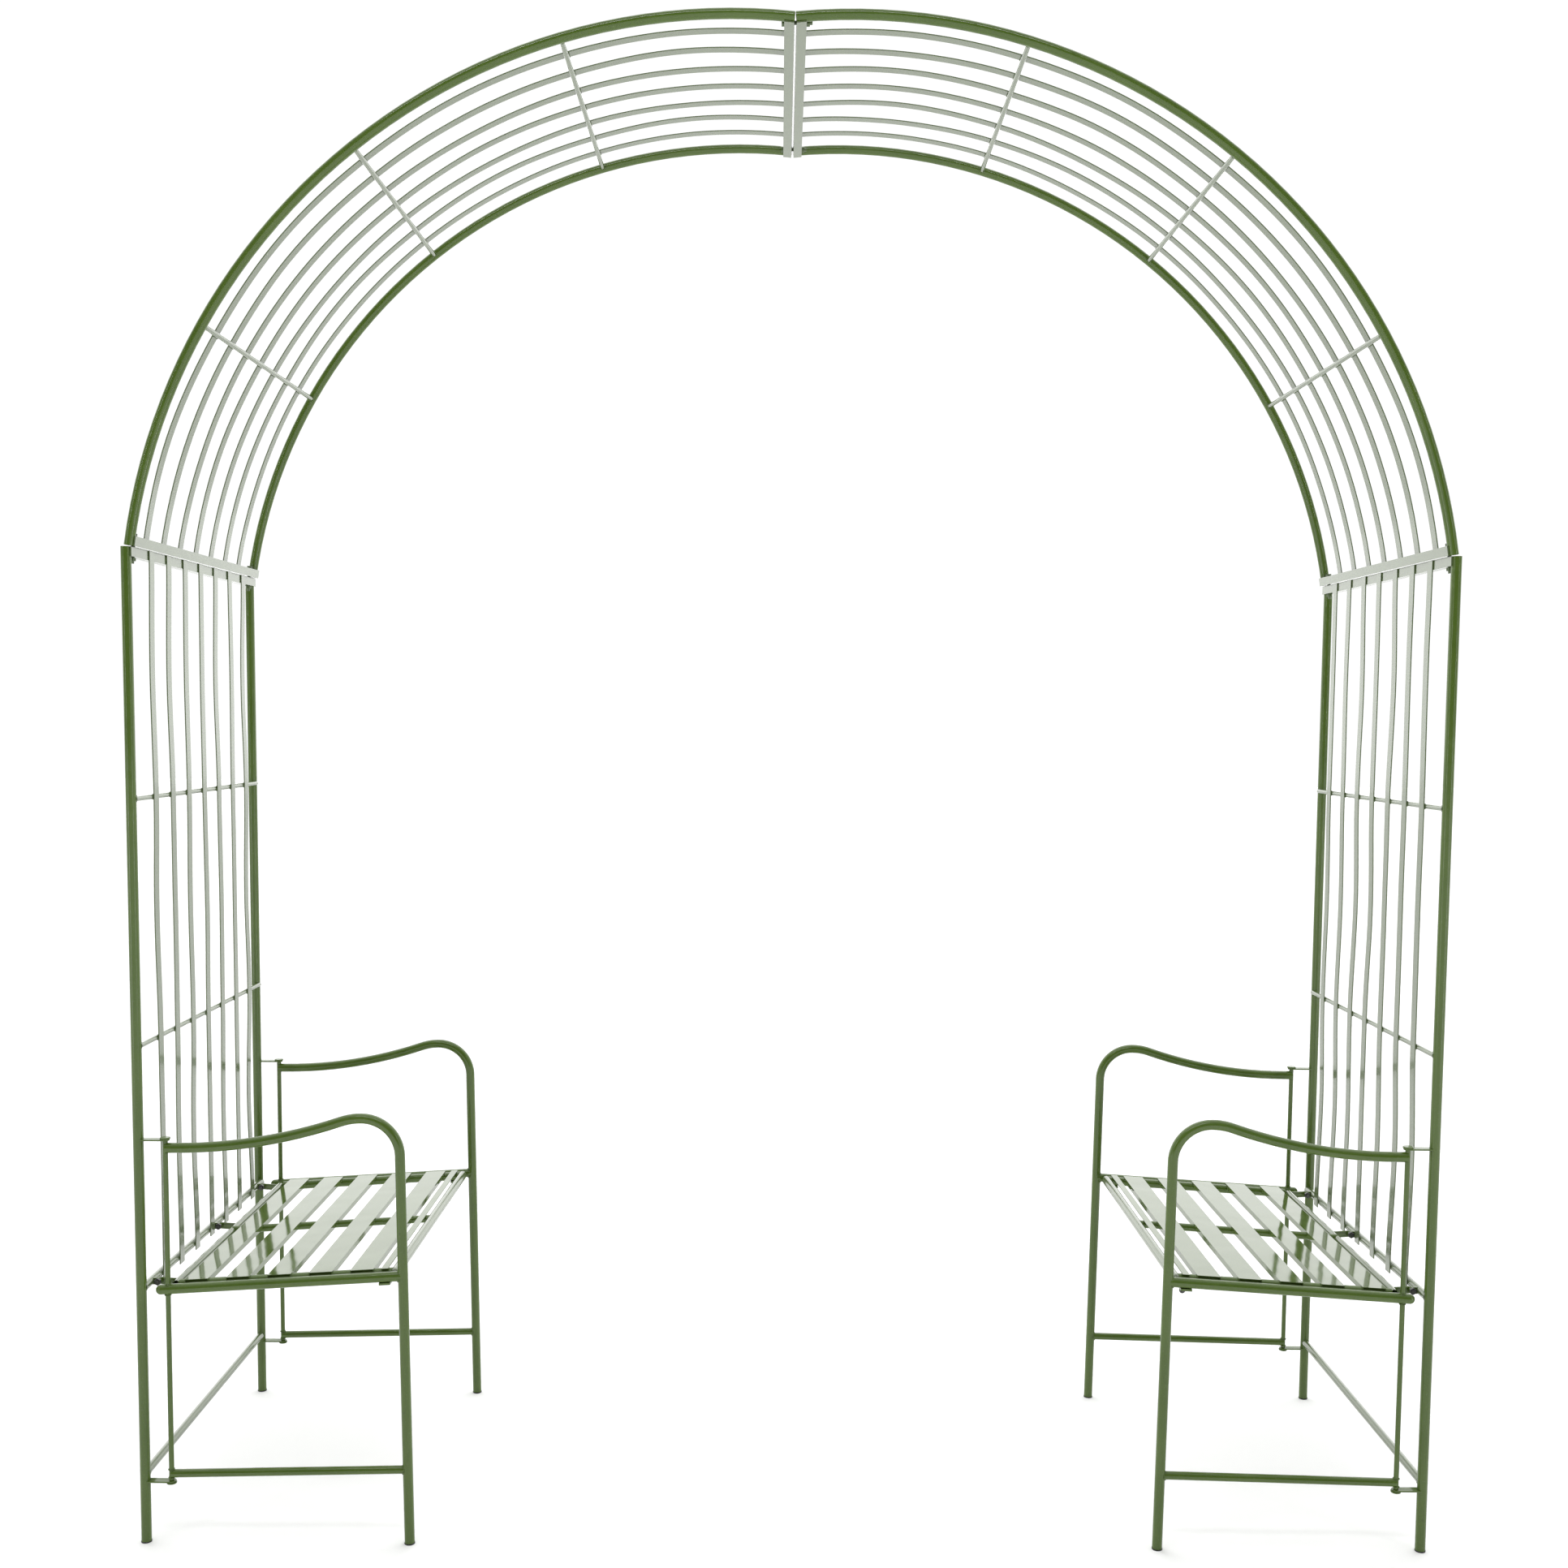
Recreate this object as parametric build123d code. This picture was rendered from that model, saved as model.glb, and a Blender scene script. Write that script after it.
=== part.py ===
from build123d import *
import math
import os

# A garden trellis arch with a folding bench inside each side, in millimetres.
# +Z up, +X to the right, +Y to the rear; origin on the ground, at the middle of the arch.
# The left front quarter is drawn, and the other quarters are its mirror images.

# Overall sizes
post_spacing = 2030.0          # between the left and right posts' axes
depth_spacing = 600.0          # between the front and rear posts' axes
panel_height = 1570.0          # top of the straight side panels
crown_setback = 90.0           # from the middle of the arch to each quarter arc's centre
shoulder_lean = 8.6            # degrees that an arc tube leans from upright at the shoulder
shoulder_inset = 5.0           # an arc tube starts this much inside its post

# Stock
tube_diameter = 16.0
tube_wall = 1.2
rail_diameter = 13.0           # stretchers, lower rails and the seats' rear and middle tubes
rail_wall = 1.2
rod_diameter = 8.0
slat_width = 20.0
slat_thickness = 2.0
slat_count = 7
channel_width = 15.0
channel_wall = 2.0
channel_leg = 13.0

# Side panels and arcs
stretcher_height = 112.0
bottom_tube_height = 414.0
side_rods = 2
arc_rods = 3
slat_tail = 3.0                # a side slat runs on past its bottom tube
channel_overlap = 4.0          # a channel's web runs on past the tubes' axes

# Arm frames, measured from the upright that they swing on
pivot_offset = 42.0            # from the post's axis to the upright's axis
upright_diameter = 8.0
arm_reach = 367.5              # from the upright's axis to the top of the front leg's axis
armrest_height = 638.0
arm_rise_radius = 800.0
arm_crest_radius = 100.0
arm_rise_angle = 19.0
leg_bend_radius = 60.0
leg_lean = 0.9                 # degrees that the leg's foot stands out
seat_rail_height = 411.5
seat_slope = 3.7
rail_stub = 19.0               # the seat rail runs on behind the upright
lower_rail_height = 112.0
lower_rail_slope = 1.4

# Hinge tabs of the arm frames
tab_width = 14.0
tab_thickness = 2.5
upper_tab_height = 651.0
lower_tab_height = 100.0
pin_diameter = 6.0
pin_head_diameter = 16.0
pin_head_thickness = 2.5

# Seats
seat_side_gap = 4.0            # from an arm frame's seat rail to the seat's end rail
seat_rear_offset = 5.0         # from the upright's axis to the rear tube's axis
seat_front_offset = 16.0       # from the front leg's axis back to the front tube's axis
rear_tube_end_gap = 21.0       # from the arm frame's plane to the rear tube's end
front_tube_end_gap = 10.0      # from the arm frame's plane to the front tube's end
seat_slat_count = 5
seat_slat_width = 37.0
seat_slat_lip = 8.5
seat_slat_thickness = 1.5
seat_slat_margin = 36.0        # from the rear tube, and from the front strip, to a slat's middle
front_strip_width = 12.0
front_strip_setback = 15.5     # from the front tube's axis back to the strip's middle

# Seat hinges
seat_pin_offset = 12.5         # from the bottom tube's axis to the hinge pins' axis
hinge_plate = 3.0
hinge_plate_width = 11.0
outer_hinge_inset = 32.0       # from the arm frame's plane to an outer hinge's face
middle_hinge_shift = 22.0      # the middle hinge stands beside the middle slat

# Fasteners
bolt_diameter = 6.0
bolt_hole = 7.0
bolt_across_flats = 10.0
bolt_head_height = 4.0
nut_height = 5.0
bolt_tail = 4.0
joint_bolt_inset = 17.0        # from the post's axis to the joint bolt's axis
joint_bolt_depth = 2.0         # from the tubes' centre line inward to the bolt's axis
lug_length = 18.0
lug_thickness = 3.5
lug_overhang = 6.0             # past the two rails' axes
latch_setback = 29.0           # from the front leg's axis back to the latch bolt's axis
latch_engagement = 7.0         # the latch bolt stands this far above its lug
latch_tail = 3.5
notch_side_gap = 1.0
cap_nut_across_flats = 10.0
cap_nut_flange = 13.0
cap_nut_height = 12.0

# Foot caps
cap_base = 2.0
cap_lip = 0.4
cap_stem = 14.0

# Clearances
pin_clearance = 0.05           # radial, on every hinge pin
thread_clearance = 0.05        # radial, between a nut and its bolt
stem_clearance = 0.05          # radial, between a foot cap's stem and its tube
moving_gap = 0.3               # between faces that move past each other
joint_gap = 0.3                # between the frames at a bolted joint
weld_gap = 0.2                 # where an arc's channel, or a seat's rail, is welded on to a rounded face

# Places worked out from the sizes
post_x = post_spacing / 2
post_y = depth_spacing / 2
tube_radius = tube_diameter / 2
rail_radius = rail_diameter / 2
rod_radius = rod_diameter / 2
web_face = tube_radius + channel_wall
arc_end_x = post_x - shoulder_inset
shoulder_angle = 90 - shoulder_lean
arc_radius = (arc_end_x - crown_setback) / math.sin(math.radians(shoulder_angle))
crown_angle = math.degrees(math.asin((crown_setback - joint_gap / 2) / (arc_radius + tube_radius)))
arc_end_z = panel_height + joint_gap + web_face * math.cos(math.radians(shoulder_angle))
arc_centre_z = arc_end_z - arc_radius * math.cos(math.radians(shoulder_angle))
arc_sweep = shoulder_angle + crown_angle
slat_pitch = depth_spacing / (slat_count + 1)
slat_rows = [(i + 1) * slat_pitch - post_y for i in range(slat_count)]
pivot_x = -post_x + pivot_offset
bottom_tube_x = -post_x + web_face - rail_radius
hinge_x = bottom_tube_x + seat_pin_offset
hinge_z = bottom_tube_height
seat_end_y = post_y - tube_diameter - seat_side_gap
upright_bottom = lower_tab_height + tab_thickness / 2 + moving_gap
upright_top = upper_tab_height - tab_thickness / 2 - moving_gap
hinge_rows = [-(post_y - outer_hinge_inset), middle_hinge_shift, post_y - outer_hinge_inset]

arm_plane = Plane(
    origin=(pivot_x, -post_y, seat_rail_height),
    x_dir=(math.cos(math.radians(seat_slope)), 0, math.sin(math.radians(seat_slope))),
    z_dir=(-math.sin(math.radians(seat_slope)), 0, math.cos(math.radians(seat_slope))),
)
seat_plane = Plane(
    origin=(pivot_x, 0, seat_rail_height + moving_gap),
    x_dir=arm_plane.x_dir,
    z_dir=arm_plane.z_dir,
)

# The bent tube of an arm frame: the bend's centre is arm_reach less its radius along from the upright
crest_height = (arm_rise_radius + arm_crest_radius) * (1 - math.cos(math.radians(arm_rise_angle)))
bend_centre_height = armrest_height + crest_height - leg_bend_radius
leg_tan = math.tan(math.radians(leg_lean))
leg_axis_reach = arm_reach - leg_bend_radius + leg_bend_radius / math.cos(math.radians(leg_lean))


def leg_reach(height):
    """From the upright's axis to the leg's axis at a height."""
    return leg_axis_reach + (bend_centre_height - height) * leg_tan


def rail_length(height, slope):
    """Along a sloping rail's axis, from the upright's axis to the leg's axis."""
    rise = math.tan(math.radians(slope))
    return leg_reach(height) / (1 + rise * leg_tan) / math.cos(math.radians(slope))


slope_reach = rail_length(seat_rail_height, seat_slope)
foot_x = pivot_x + leg_reach(0)


def rod(start, end, diameter):
    """A solid round bar between two points."""
    axis = Vector(*end) - Vector(*start)
    return extrude(Plane(origin=start, z_dir=axis) * Circle(diameter / 2), amount=axis.length)


def tube(start, end, diameter, wall):
    """A round tube between two points."""
    return rod(start, end, diameter) - rod(start, end, diameter - 2 * wall)


def block(low, high):
    """A box between two corners."""
    size = Vector(*high) - Vector(*low)
    return Pos(*low) * Box(*size, align=(Align.MIN, Align.MIN, Align.MIN))


def round_plate(centre, toward, normal, width, length, thickness):
    """A flat bar from a rounded end on centre; thickness is along normal, split evenly."""
    face = Plane(origin=centre, x_dir=toward, z_dir=normal)
    shape = Circle(width / 2) + Pos(length / 2, 0) * Rectangle(length, width)
    return face * extrude(shape, amount=thickness / 2, both=True)


def hexagon(start, end, across_flats):
    """A hexagonal prism between two points."""
    axis = Vector(*end) - Vector(*start)
    shape = RegularPolygon(across_flats / 2, 6, major_radius=False)
    return extrude(Plane(origin=start, z_dir=axis) * shape, amount=axis.length)


def left_right(shapes):
    """The left pieces, then their mirror images on the right."""
    return list(shapes) + [mirror(shape, about=Plane.YZ) for shape in shapes]


def front_rear(shapes):
    """The front pieces, then their mirror images at the rear."""
    return list(shapes) + [mirror(shape, about=Plane.XZ) for shape in shapes]


def foot_cap(x, y, lean):
    """A plastic cap: a disc under the tube, and a stem up inside it, along the tube's lean."""
    base = rod((x, y, 0), (x, y, cap_base), tube_diameter + 2 * cap_lip)
    stem_diameter = tube_diameter - 2 * tube_wall - 2 * stem_clearance
    shift = math.tan(math.radians(lean))
    low = (x - shift * cap_base / 2, y, cap_base / 2)
    high = (x - shift * (cap_base + cap_stem), y, cap_base + cap_stem)
    return base + rod(low, high, stem_diameter)


# Side panels

def post_space(y):
    """The space that a left post takes up, for coping what meets it."""
    return rod((-post_x, y, 0), (-post_x, y, panel_height), tube_diameter)


def cope_to_posts(shape):
    return shape - post_space(-post_y) - post_space(post_y)


def post():
    return tube((-post_x, -post_y, cap_base), (-post_x, -post_y, panel_height), tube_diameter, tube_wall)


def trellis_rod(index):
    x = -post_x + web_face - rod_radius
    z = bottom_tube_height + (panel_height - bottom_tube_height) * (index + 1) / (side_rods + 1)
    return cope_to_posts(rod((x, -post_y, z), (x, post_y, z), rod_diameter))


def trellis_slat(y):
    x = -post_x + web_face
    bottom = bottom_tube_height - rail_radius - slat_tail
    return block((x, y - slat_width / 2, bottom), (x + slat_thickness, y + slat_width / 2, panel_height))


def bottom_tube():
    x = bottom_tube_x
    z = bottom_tube_height
    return cope_to_posts(tube((x, -post_y, z), (x, post_y, z), rail_diameter, rail_wall))


def stretcher():
    z = stretcher_height
    return cope_to_posts(tube((-post_x, -post_y, z), (-post_x, post_y, z), rail_diameter, rail_wall))


def channel():
    """A U channel: the joint face is at z = 0, and -x is toward the inside of the arch."""
    web_end = post_y + channel_overlap
    leg_end = post_y - tube_radius
    web = block((-web_face, -web_end, 0), (-tube_radius, web_end, channel_width))
    legs_low = -tube_radius
    legs_high = legs_low + channel_leg
    joint_leg = block((legs_low, -leg_end, 0), (legs_high, leg_end, channel_wall))
    back_leg = Pos(0, 0, channel_width - channel_wall) * joint_leg
    return web + joint_leg + back_leg


def panel_channel_plane():
    """The joint face of the left panel: x outward, z down."""
    return Plane(origin=(-post_x, 0, panel_height), x_dir=(-1, 0, 0), z_dir=(0, 0, -1))


# Arcs

arc_axis = Axis((-crown_setback, 0, arc_centre_z), (0, -1, 0))


def arc_station(angle, into_arc):
    """A frame on the left arc at an angle from its top: x outward, z along the arc."""
    turn = math.radians(angle)
    outward = Vector(-math.sin(turn), 0, math.cos(turn))
    along = Vector(-math.cos(turn), 0, -math.sin(turn)) * into_arc
    origin = Vector(-crown_setback, 0, arc_centre_z) + outward * arc_radius
    return Plane(origin=origin, x_dir=outward, z_dir=along)


crown_plane = arc_station(-crown_angle, 1)
shoulder_plane = arc_station(shoulder_angle, -1)


def along_arc(section, radius, first, last):
    """Sweeps a section, drawn with x outward and y to the rear, between two angles."""
    start = Plane(origin=(-crown_setback, 0, arc_centre_z + radius), x_dir=(0, 0, 1), z_dir=(1, 0, 0))
    swept = revolve(start * section, axis=arc_axis, revolution_arc=last - first)
    return swept.rotate(arc_axis, first)


def arc_tube():
    ring = Circle(tube_radius) - Circle(tube_radius - tube_wall)
    return Pos(0, -post_y, 0) * along_arc(ring, arc_radius, -crown_angle, shoulder_angle)


def arc_tube_space():
    """The space that the left front arc tube takes up, for coping what meets it."""
    section = Circle(tube_radius)
    return Pos(0, -post_y, 0) * along_arc(section, arc_radius, -crown_angle, shoulder_angle)


# the slats' outer faces are flush with the outer edges of the channels' legs
slat_line = arc_radius - tube_radius + channel_leg - slat_thickness / 2
rod_line = slat_line - slat_thickness / 2 - rod_radius


def arc_slat(y):
    """A flat bar on the outside of the rods, from the one channel's back leg to the other's."""
    trim = math.degrees(math.asin(channel_width / (slat_line - slat_thickness / 2)))
    section = Rectangle(slat_thickness, slat_width)
    return Pos(0, y, 0) * along_arc(section, slat_line, trim - crown_angle, shoulder_angle - trim)


def arc_rod(index):
    """A round bar between the front and rear arc tubes, coped to them."""
    angle = math.radians((index + 1) * arc_sweep / (arc_rods + 1) - crown_angle)
    x = -crown_setback - rod_line * math.sin(angle)
    z = arc_centre_z + rod_line * math.cos(angle)
    reach = post_y - tube_radius + 1.0
    bar = rod((x, -reach, z), (x, reach, z), rod_diameter)
    return bar - arc_tube_space() - mirror(arc_tube_space(), about=Plane.XZ)


# Bolted joints

def face_distance(point, direction, plane):
    """How far along direction the channel's back leg lies, where its plane is z = width."""
    local = plane.to_local_coords(Vector(*point))
    step = direction.dot(plane.z_dir)
    return (channel_width - local.Z) / step


def joint_line(plane_a, plane_b, y):
    """The bolt's middle point and direction, from side a's channel to side b's."""
    middle = (plane_a.origin + plane_b.origin) * 0.5
    inward = (plane_a.x_dir + plane_b.x_dir).normalized() * -joint_bolt_depth
    point = middle + inward
    direction = (plane_b.z_dir - plane_a.z_dir).normalized()
    return Vector(point.X, y, point.Z), direction


def joint_bolt(plane_a, plane_b, y):
    """A bolt with its head on side a, its nut on side b and its clearance hole."""
    point, direction = joint_line(plane_a, plane_b, y)
    tilt = math.tan(math.acos(min(1.0, direction.dot(plane_b.z_dir))))
    seat_gap = tilt * bolt_across_flats / math.sqrt(3)
    head_face = point - direction * (face_distance(point, -direction, plane_a) + seat_gap)
    nut_face = point + direction * (face_distance(point, direction, plane_b) + seat_gap)
    nut_end = nut_face + direction * nut_height
    head = hexagon(head_face - direction * bolt_head_height, head_face, bolt_across_flats)
    shank = rod(head_face, nut_end + direction * bolt_tail, bolt_diameter)
    nut_bore = rod(nut_face, nut_end, bolt_diameter + 2 * thread_clearance)
    nut = hexagon(nut_face, nut_end, bolt_across_flats) - nut_bore
    hole = rod(head_face - direction * 1.0, nut_end, bolt_hole)
    return head + shank, nut, hole


right_crown_plane = Plane(
    origin=(-crown_plane.origin.X, 0, crown_plane.origin.Z),
    x_dir=(-crown_plane.x_dir.X, 0, crown_plane.x_dir.Z),
    z_dir=(-crown_plane.z_dir.X, 0, crown_plane.z_dir.Z),
)
joint_rows = [-(post_y - joint_bolt_inset), post_y - joint_bolt_inset]
crown_joints = [joint_bolt(crown_plane, right_crown_plane, y) for y in joint_rows]
shoulder_joints = [joint_bolt(shoulder_plane, panel_channel_plane(), y) for y in joint_rows]


def drilled(plane, inset, joints):
    """A channel on its joint plane, moved inward by inset and drilled for its bolts."""
    shape = plane * Pos(-inset, 0, 0) * channel()
    for joint in joints:
        shape = shape - joint[2]
    return shape


# Arm frames, drawn for the left front

def arm_tab(z):
    """A plate from the post to the upright, bored for its pin."""
    centre = (pivot_x, -post_y, z)
    plate = round_plate(centre, (-1, 0, 0), (0, 0, 1), tab_width, pivot_offset, tab_thickness)
    bore = rod((pivot_x, -post_y, z - 10), (pivot_x, -post_y, z + 10), pin_diameter + 2 * pin_clearance)
    return cope_to_posts(plate) - bore


def hinge_upright():
    """A round bar with a pin and a riveted head at each end, which holds it in its tabs."""
    def bar(low, high, diameter):
        return rod((pivot_x, -post_y, low), (pivot_x, -post_y, high), diameter)

    head_low = lower_tab_height - tab_thickness / 2 - moving_gap
    head_high = upper_tab_height + tab_thickness / 2 + moving_gap
    lower_head = bar(head_low - pin_head_thickness, head_low, pin_head_diameter)
    upper_head = bar(head_high, head_high + pin_head_thickness, pin_head_diameter)
    edge = pin_head_thickness / 2
    lower_head = fillet(lower_head.edges().sort_by(Axis.Z)[:1], edge)
    upper_head = fillet(upper_head.edges().sort_by(Axis.Z)[-1:], edge)
    pins = bar(head_low, upright_bottom, pin_diameter) + bar(upright_top, head_high, pin_diameter)
    return bar(upright_bottom, upright_top, upright_diameter) + pins + lower_head + upper_head


leg_overrun = 5.0              # the leg is drawn this far into the ground, then cut level


def armrest_path():
    """Level at the upright, up over a crest, round the bend and down the leg to its cap."""
    rise = arm_rise_radius + arm_crest_radius
    level = arm_reach - leg_bend_radius - rise * math.sin(math.radians(arm_rise_angle))
    with BuildLine(Plane(origin=(pivot_x, -post_y, 0), x_dir=(1, 0, 0), z_dir=(0, -1, 0))) as path:
        start = Line((0, armrest_height), (level, armrest_height))
        climb = JernArc(start @ 1, start % 1, arm_rise_radius, arm_rise_angle)
        crest = JernArc(climb @ 1, climb % 1, arm_crest_radius, -arm_rise_angle)
        bend = JernArc(crest @ 1, crest % 1, leg_bend_radius, leg_lean - 90)
        Line(bend @ 1, (leg_reach(-leg_overrun), -leg_overrun))
    return path.wire()


def armrest_leg():
    path = armrest_path()
    end = Plane(origin=(pivot_x, -post_y, armrest_height), z_dir=(1, 0, 0))
    outer = sweep(end * Circle(tube_radius), path=path)
    inner = sweep(end * Circle(tube_radius - tube_wall), path=path)
    ground = block((foot_x - 30, -post_y - 30, -2 * leg_overrun), (foot_x + 30, -post_y + 30, cap_base))
    return outer - inner - upright_space() - ground


def upright_space():
    return rod((pivot_x, -post_y, upright_bottom), (pivot_x, -post_y, upright_top), upright_diameter)


def leg_space():
    top = (pivot_x + leg_reach(bend_centre_height), -post_y, bend_centre_height)
    return rod((foot_x, -post_y, 0), top, tube_diameter)


def seat_rail():
    """A tube from behind the upright to the leg, with a domed rear end."""
    stub = rail_stub - tube_radius
    shape = arm_plane * rod((-stub, 0, 0), (slope_reach, 0, 0), tube_diameter)
    shape = shape + arm_plane * Pos(-stub, 0, 0) * Sphere(tube_radius)
    bore = arm_plane * rod((-stub, 0, 0), (slope_reach, 0, 0), tube_diameter - 2 * tube_wall)
    return shape - bore - upright_space() - leg_space()


def lower_rail():
    reach = rail_length(lower_rail_height, lower_rail_slope)
    slope = math.radians(lower_rail_slope)
    high = (pivot_x + reach * math.cos(slope), -post_y, lower_rail_height + reach * math.sin(slope))
    shape = tube((pivot_x, -post_y, lower_rail_height), high, rail_diameter, rail_wall)
    return keep_largest(shape - upright_space() - leg_space())


def keep_largest(shape):
    return max(shape.solids(), key=lambda solid: solid.volume)


latch_x = slope_reach - latch_setback
latch_y = tube_diameter + seat_side_gap


def latch_lug():
    """A plate under the seat rail, on which the seat's end rail rests."""
    low = (latch_x - lug_length / 2, -lug_overhang, -tube_radius - lug_thickness)
    high = (latch_x + lug_length / 2, latch_y + lug_overhang, -tube_radius)
    hole = rod((latch_x, latch_y, low[2] - 1), (latch_x, latch_y, high[2] + 1),
               bolt_diameter + 2 * thread_clearance)
    return arm_plane * (block(low, high) - hole)


def latch_bolt():
    """A stud up through the lug; the seat's end rail comes down over it."""
    bottom = -tube_radius - lug_thickness - latch_tail
    top = -tube_radius + latch_engagement
    return arm_plane * rod((latch_x, latch_y, bottom), (latch_x, latch_y, top), bolt_diameter)


def latch_nut():
    """A domed nut under the lug, with a flange."""
    face = -tube_radius - lug_thickness
    body_end = face - cap_nut_height + cap_nut_across_flats / 2
    flange = rod((latch_x, latch_y, face - 2.0), (latch_x, latch_y, face), cap_nut_flange)
    body = rod((latch_x, latch_y, body_end), (latch_x, latch_y, face), cap_nut_across_flats)
    dome = Pos(latch_x, latch_y, body_end) * Sphere(cap_nut_across_flats / 2)
    bore = rod((latch_x, latch_y, face - latch_tail - 0.5), (latch_x, latch_y, face),
               bolt_diameter + 2 * thread_clearance)
    return arm_plane * (flange + body + dome - bore)


# Seats, drawn for the left, in the frame of the seat plane

seat_front_x = slope_reach - seat_front_offset
seat_strip_x = seat_front_x - front_strip_setback
seat_top = tube_radius + seat_slat_thickness
rear_end = post_y - rear_tube_end_gap
front_end = post_y - front_tube_end_gap
rear_start = seat_rear_offset + rail_radius


def seat_rear_tube():
    ends = (seat_rear_offset, -rear_end, 0), (seat_rear_offset, rear_end, 0)
    return seat_plane * tube(*ends, rail_diameter, rail_wall)


def front_tube_space(gap):
    """The front tube's outer shape, with its domed ends, larger all round by gap."""
    straight = front_end - tube_radius
    shape = rod((seat_front_x, -straight, 0), (seat_front_x, straight, 0), tube_diameter + 2 * gap)
    for y in (-straight, straight):
        shape = shape + Pos(seat_front_x, y, 0) * Sphere(tube_radius + gap)
    return shape


def seat_front_tube():
    straight = front_end - tube_radius
    bore = rod((seat_front_x, -straight, 0), (seat_front_x, straight, 0), tube_diameter - 2 * tube_wall)
    return seat_plane * (front_tube_space(0) - bore)


def seat_end_rail():
    """The front end rail, notched from its outer side so that the latch bolt can leave it."""
    y = -seat_end_y
    shape = tube((rear_start, y, 0), (seat_front_x, y, 0), tube_diameter, tube_wall)
    half = bolt_diameter / 2 + notch_side_gap
    notch_top = -tube_radius + latch_engagement + notch_side_gap
    notch = block((latch_x - half, y - tube_radius - 1, -tube_radius - 1), (latch_x + half, y + half, notch_top))
    return seat_plane * keep_largest(shape - front_tube_space(weld_gap) - notch)


def seat_middle_rail():
    z = tube_radius - rail_radius
    shape = tube((seat_rear_offset, 0, z), (seat_front_x, 0, z), rail_diameter, rail_wall)
    space = rod((seat_rear_offset, -50, 0), (seat_rear_offset, 50, 0), rail_diameter)
    return seat_plane * keep_largest(shape - front_tube_space(weld_gap) - space)


def seat_slat(index):
    """A flat slat with its long edges turned down, notched over the rails."""
    first = seat_rear_offset + seat_slat_margin
    last = seat_strip_x - seat_slat_margin
    x = first + (last - first) * index / (seat_slat_count - 1)
    half = seat_slat_width / 2
    end = seat_end_y + tube_radius
    shape = block((x - half, -end, seat_top - seat_slat_lip), (x + half, end, seat_top))
    inside = half - seat_slat_thickness
    shape = shape - block((x - inside, -end, 0 - seat_slat_lip), (x + inside, end, tube_radius))
    for y in (-seat_end_y, seat_end_y):
        shape = shape - rod((x - half - 1, y, 0), (x + half + 1, y, 0), tube_diameter)
    z = tube_radius - rail_radius
    return seat_plane * (shape - rod((x - half - 1, 0, z), (x + half + 1, 0, z), rail_diameter))


def seat_front_strip():
    half = front_strip_width / 2
    end = seat_end_y + tube_radius
    return seat_plane * block((seat_strip_x - half, -end, tube_radius), (seat_strip_x + half, end, seat_top))


def hinge_bore(y):
    return rod((hinge_x, y - 20, hinge_z), (hinge_x, y + 20, hinge_z), bolt_diameter + 2 * pin_clearance)


def seat_hinge_strap(y):
    """A plate from the hinge pin to the seat's rear tube."""
    rear = seat_plane.from_local_coords(Vector(seat_rear_offset, 0, 0))
    centre = (hinge_x, y + (hinge_plate + moving_gap) / 2 + moving_gap / 2, hinge_z)
    toward = Vector(rear.X - hinge_x, 0, rear.Z - hinge_z)
    shape = round_plate(centre, toward, (0, 1, 0), hinge_plate_width, toward.length, hinge_plate)
    space = seat_plane * rod((seat_rear_offset, -post_y, 0), (seat_rear_offset, post_y, 0), rail_diameter)
    return keep_largest(shape - space - hinge_bore(y))


def seat_hinge_ear(y):
    """A plate from the hinge pin to the side panel's bottom tube."""
    centre = (hinge_x, y - (hinge_plate + moving_gap) / 2, hinge_z)
    shape = round_plate(centre, (-1, 0, 0), (0, 1, 0), hinge_plate_width, seat_pin_offset, hinge_plate)
    space = rod((bottom_tube_x, -post_y, hinge_z), (bottom_tube_x, post_y, hinge_z), rail_diameter)
    return keep_largest(shape - space - hinge_bore(y))


def seat_hinge_bolt(y):
    """A bolt along Y through the ear and the strap, with its nut in front of the ear."""
    nut_face = y - hinge_plate - moving_gap / 2
    head_face = y + hinge_plate + 5 * moving_gap / 2
    nut_end = nut_face - nut_height

    def at(place):
        return (hinge_x, place, hinge_z)

    head = hexagon(at(head_face), at(head_face + bolt_head_height), bolt_across_flats)
    bolt = head + rod(at(nut_end - bolt_tail / 2), at(head_face), bolt_diameter)
    bore = rod(at(nut_end), at(nut_face), bolt_diameter + 2 * thread_clearance)
    nut = hexagon(at(nut_end), at(nut_face), bolt_across_flats) - bore
    return bolt, nut


# The nodes: each name holds its own separate solids

nodes = {}


def add_pair(name, shapes):
    """One node for the left pieces and one for the right."""
    nodes["left_" + name] = list(shapes)
    nodes["right_" + name] = [mirror(shape, about=Plane.YZ) for shape in shapes]


def add_four(name, shape):
    """One node at each corner, from the left front piece."""
    for side in ("left", "right"):
        for end in ("front", "rear"):
            piece = shape
            if side == "right":
                piece = mirror(piece, about=Plane.YZ)
            if end == "rear":
                piece = mirror(piece, about=Plane.XZ)
            nodes[side + "_" + end + "_" + name] = [piece]


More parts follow.
